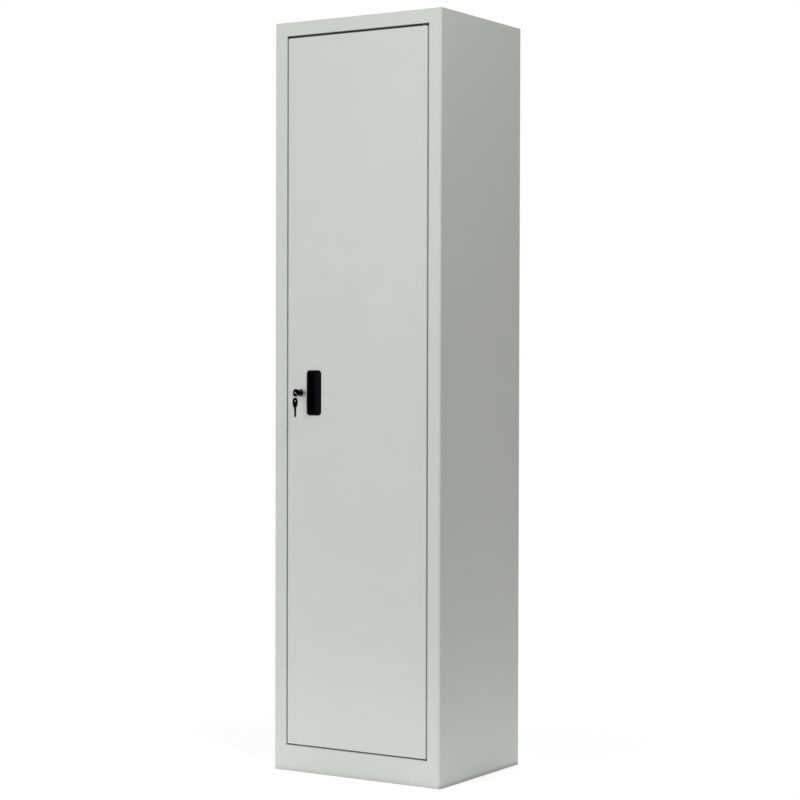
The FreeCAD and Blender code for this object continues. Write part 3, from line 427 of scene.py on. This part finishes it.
def split_ring():
    """An 8-sided wire swept through two turns of a circle, which start and end `gap` radians short.
    Sideways it eases from -step to +step as the second turn begins."""
    low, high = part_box("key_ring")
    centre = (low + high) / 2
    wide, half_thick, step, gap = high.y - low.y, 0.00028, 0.00031, 0.3
    mean = (high.x - low.x) / 2 - wide / 2
    turn = np.linspace(gap, 4 * math.pi - gap, 180)[:, None]
    ramp = np.clip((turn - 2 * math.pi + gap) / (2 * gap), 0, 1)
    side = step * (2 * ramp ** 2 * (3 - 2 * ramp) - 1)
    b = np.linspace(0, 2 * math.pi, 8, endpoint=False) + math.pi / 8
    out = mean + wide / 2 * np.cos(b)
    wire = np.stack([centre.x + out * np.sin(turn), centre.y + side + half_thick * np.sin(b),
                     centre.z + out * np.cos(turn)], axis=-1)
    grid = np.concatenate([drawn_in(wire[0]), wire, drawn_in(wire[-1])])
    ring = surface("split_ring", grid, "ring", ring_steel, sharp=50)
    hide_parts("key_ring")


split_ring()


# ---------------------------------------------------------------- pivot bushes and door buffers
# The bushes are turned from black nylon. The buffers are buttons of soft moulded rubber, stuck to
# the two stops that the door closes on.

def black_nylon():
    """Turned nylon: black and faintly waxy, with the tool's marks 1 mm apart."""
    finish, tree, shader, place = material("turned_black_nylon")
    turning = add(tree, "ShaderNodeTexNoise", {"Vector": place, "Scale": 1 / 0.001, "Detail": 2.0})
    sheen = add(tree, "ShaderNodeMapRange", {"Value": turning, "To Min": 0.35, "To Max": 0.5})
    connect(tree, shader, {"Base Color": linear("#0E0E0F"), "IOR": 1.53, "Roughness": sheen})
    return finish


dress("nylon", black_nylon())


def black_rubber():
    """Moulded rubber: black and matt, with a dull bloom in spots of 2 mm."""
    finish, tree, shader, place = material("moulded_black_rubber")
    bloom = add(tree, "ShaderNodeTexNoise", {"Vector": place, "Scale": 1 / 0.002, "Detail": 3.0})
    sheen = add(tree, "ShaderNodeMapRange", {"Value": bloom, "To Min": 0.7, "To Max": 0.9})
    connect(tree, shader, {"Base Color": linear("#151515"), "IOR": 1.52, "Roughness": sheen})
    return finish


dress("black_rubber", black_rubber())


# ---------------------------------------------------------------- floor and backdrop
# A white studio floor, lit round the locker so that it throws light back up at it. To the camera
# and in reflections it is white too, and it keeps the soft shadow under the locker.

def seen(tree):
    """1 for a ray from the camera, and for one in a reflection or through glass. Else 0."""
    ray = add(tree, "ShaderNodeLightPath").outputs
    plain = add(tree, "ShaderNodeMath", {0: ray["Is Camera Ray"], 1: ray["Is Glossy Ray"]},
                operation="MAXIMUM")
    return add(tree, "ShaderNodeMath", {0: plain, 1: ray["Is Transmission Ray"]}, operation="MAXIMUM")


def floor():
    """A 40 m square at z = 0. As the camera sees it, it is lifted, and eases to pure white at 1 m.
    The light that it throws on the locker is dim under it, brightens to 0.42 m out and eases to 0 at
    1.4 m."""
    corners = [(-20.0, -20.0, 0.0), (20.0, -20.0, 0.0), (20.0, 20.0, 0.0), (-20.0, 20.0, 0.0)]
    lift, grey_to, white_from = 0.56, 0.3, 1.0
    dim, bright, dim_to, bright_from, dark_from = 0.28, 0.86, 0.18, 0.42, 1.4
    mesh = bpy.data.meshes.new("floor")
    mesh.from_pydata(corners, [], [(0, 1, 2, 3)])
    made = bpy.data.objects.new("floor", mesh)
    bpy.context.collection.objects.link(made)
    finish = bpy.data.materials.new("studio_floor")
    finish.use_nodes = True
    tree = finish.node_tree
    tree.nodes.clear()
    paint = add(tree, "ShaderNodeBsdfDiffuse", {"Color": linear("#E6E6E6")})
    place = add(tree, "ShaderNodeTexCoord").outputs["Object"]
    away = add(tree, "ShaderNodeVectorMath", {"Vector": place}, operation="LENGTH")

    glow = add(tree, "ShaderNodeEmission", {"Color": linear("#FFFFFF"), "Strength": lift})
    lifted = add(tree, "ShaderNodeAddShader", {0: paint, 1: glow})
    white = add(tree, "ShaderNodeEmission", {"Color": linear("#FFFFFF"), "Strength": 1.0})
    far = add(tree, "ShaderNodeMapRange", {"Value": away, "From Min": grey_to, "From Max": white_from},
              interpolation_type="SMOOTHSTEP")
    shown = add(tree, "ShaderNodeMixShader", {0: far, 1: lifted, 2: white})

    inner = add(tree, "ShaderNodeMapRange", {"Value": away, "From Min": dim_to, "From Max": bright_from,
                                             "To Min": dim, "To Max": bright},
                interpolation_type="SMOOTHSTEP")
    outer = add(tree, "ShaderNodeMapRange", {"Value": away, "From Max": dark_from, "To Min": 1.0,
                                             "To Max": 0.0}, interpolation_type="SMOOTHSTEP")
    ring = add(tree, "ShaderNodeMath", {0: inner, 1: outer}, operation="MULTIPLY")
    thrown = add(tree, "ShaderNodeEmission", {"Color": linear("#FFFFFF"), "Strength": ring})
    bounce = add(tree, "ShaderNodeAddShader", {0: paint, 1: thrown})

    result = add(tree, "ShaderNodeMixShader", {0: seen(tree), 1: bounce, 2: shown})
    add(tree, "ShaderNodeOutputMaterial", {"Surface": result})
    mesh.materials.append(finish)


floor()


# ---------------------------------------------------------------- studio light
# Soft light from all round, a broad lamp in front and to the left of the door, a smaller one high
# on the right, and a broad one behind. The right side gets about 0.6 of the light on the front.

world = bpy.data.worlds.new("studio")
world.use_nodes = True
bpy.context.scene.world = world
tree = world.node_tree
tree.nodes.clear()
ambient = add(tree, "ShaderNodeBackground", {"Color": linear("#FFFFFF"), "Strength": 0.302})
white = add(tree, "ShaderNodeBackground", {"Color": linear("#FFFFFF"), "Strength": 1.0})
both = add(tree, "ShaderNodeMixShader", {0: seen(tree), 1: ambient, 2: white})
add(tree, "ShaderNodeOutputWorld", {"Surface": both})


def lamp(name, place, target, size, power):
    """A square area lamp at `place`, facing `target`; size in metres and power in watts."""
    light = bpy.data.lights.new(name, "AREA")
    light.size = size
    light.energy = power
    made = bpy.data.objects.new(name, light)
    bpy.context.collection.objects.link(made)
    made.location = place
    made.rotation_euler = (Vector(target) - Vector(place)).to_track_quat("-Z", "Y").to_euler()


lamp("key_lamp", place=(-1.6, -4.5, 1.6), target=(0.0, 0.0, 0.9), size=2.4, power=88.0)
lamp("high_lamp", place=(1.3, -1.0, 3.0), target=(0.2, -0.1, 1.6), size=0.8, power=17.5)
lamp("back_lamp", place=(-0.9, 4.0, 1.8), target=(0.0, 0.1, 0.9), size=2.0, power=40.0)


# ---------------------------------------------------------------- camera
# A long lens at waist height, in front and to the right of the locker. It is aimed nearly level,
# and the whole height fills the picture.

azimuth, pitch, roll = math.radians(32.211), math.radians(-0.914), math.radians(0.147)
camera_data = bpy.data.cameras.new("camera")
camera_data.sensor_width = 36.0
camera_data.lens = 95.66
camera_data.clip_end = 60.0
camera = bpy.data.objects.new("camera", camera_data)
bpy.context.collection.objects.link(camera)
camera.location = (2.7597, -4.3724, 0.9765)
aim = Matrix.Rotation(azimuth, 3, "Z") @ Matrix.Rotation(math.pi / 2 + pitch, 3, "X")
camera.rotation_euler = (aim @ Matrix.Rotation(roll, 3, "Z")).to_euler()
bpy.context.scene.camera = camera

bpy.context.scene.view_settings.view_transform = "Standard"
